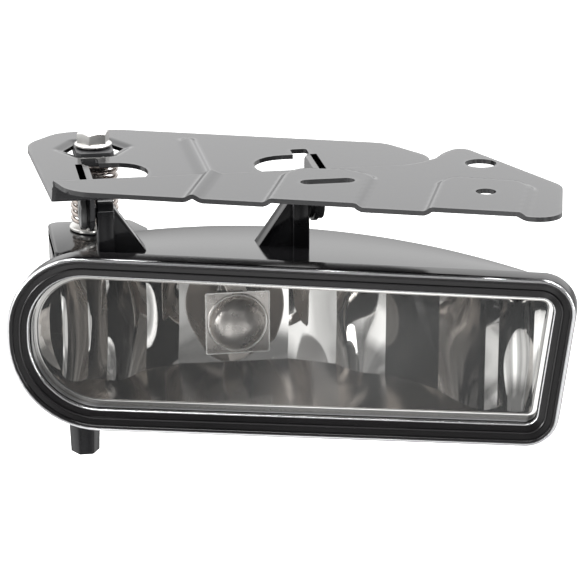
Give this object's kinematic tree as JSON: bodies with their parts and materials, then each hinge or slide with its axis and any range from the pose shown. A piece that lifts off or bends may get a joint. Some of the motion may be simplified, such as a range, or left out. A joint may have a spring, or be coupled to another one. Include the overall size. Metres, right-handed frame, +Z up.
{
  "type": "fog light",
  "caption": "Swept rectangular fog light with one round end, a clear lens over a fluted reflector, hung from a joggled steel bracket and tilted by a sprung aiming bolt.",
  "frame": {"origin": "on the top face of the raised fixing pad, 13 mm in front of its bolt hole, where the vehicle holds the lamp", "axes": "+Z up out of the pad, -Y the way the lamp shines, +X along the lamp towards the square end of the lens"},
  "size_m": [0.2374, 0.1973, 0.1417],
  "materials": {
    "bracket_steel": "gloss black paint on pressed steel",
    "zinc_steel": "bright zinc plate",
    "spring_steel": "drawn wire, lightly oiled",
    "housing_plastic": "gloss black moulding",
    "bezel_plastic": "gloss black moulded rim",
    "nylon": "black nylon",
    "rubber": "soft black rubber",
    "reflector_chrome": "vacuum metallised, mirror bright",
    "shield_chrome": "satin plated",
    "lens_clear": "clear, hard coated",
    "bulb_glass": "clear quartz glass",
    "bulb_plastic": "black glass-filled moulding",
    "brass": "tinned brass blades",
    "tungsten": "drawn tungsten wire"
  },
  "bodies": {
    "bracket": {"mounting_bracket": "bracket_steel", "pivot_bush_left": "nylon", "pivot_bush_right": "nylon", "adjuster_grommet": "nylon", "adjuster_spring": "spring_steel"},
    "adjuster": {"adjuster_bolt": "zinc_steel", "adjuster_clip": "spring_steel"},
    "lamp": {"housing": "housing_plastic", "pivot_pin_left": "zinc_steel", "pivot_pin_right": "zinc_steel", "vent_cap": "rubber", "bezel": "bezel_plastic", "lens": "lens_clear", "lens_seal": "rubber", "reflector": "reflector_chrome", "bulb_shield": "shield_chrome", "shield_rivet_lower": "zinc_steel", "shield_rivet_upper": "zinc_steel", "spring_seat": "zinc_steel", "adjuster_nut": "zinc_steel"},
    "bulb": {"bulb_base": "bulb_plastic", "bulb_seal": "rubber", "bulb_collar": "zinc_steel", "bulb_glass": "bulb_glass", "bulb_filament": "tungsten", "bulb_terminal_left": "brass", "bulb_terminal_right": "brass"}
  },
  "joints": [
    {"name": "adjuster_spin", "type": "hinge", "parent": "bracket", "child": "adjuster", "pos_m": [-0.1493, 0.146, -0.0273], "axis": [0, 0, 1], "range_deg": [-540, 540]},
    {"name": "lamp_tilt", "type": "hinge", "parent": "bracket", "child": "lamp", "pos_m": [-0.1058, 0.103, -0.0273], "axis": [1, 0, 0], "range_deg": [-2.5, 2.5], "deforming": ["adjuster_spring"]},
    {"name": "bulb_twist", "type": "hinge", "parent": "lamp", "child": "bulb", "pos_m": [-0.0903, 0.149, -0.0823], "axis": [0, 1, 0], "range_deg": [0, 45]}
  ],
  "couplings": [
    {"joint": "adjuster_spin", "follows": "lamp_tilt", "ratio": -216.14}
  ]
}
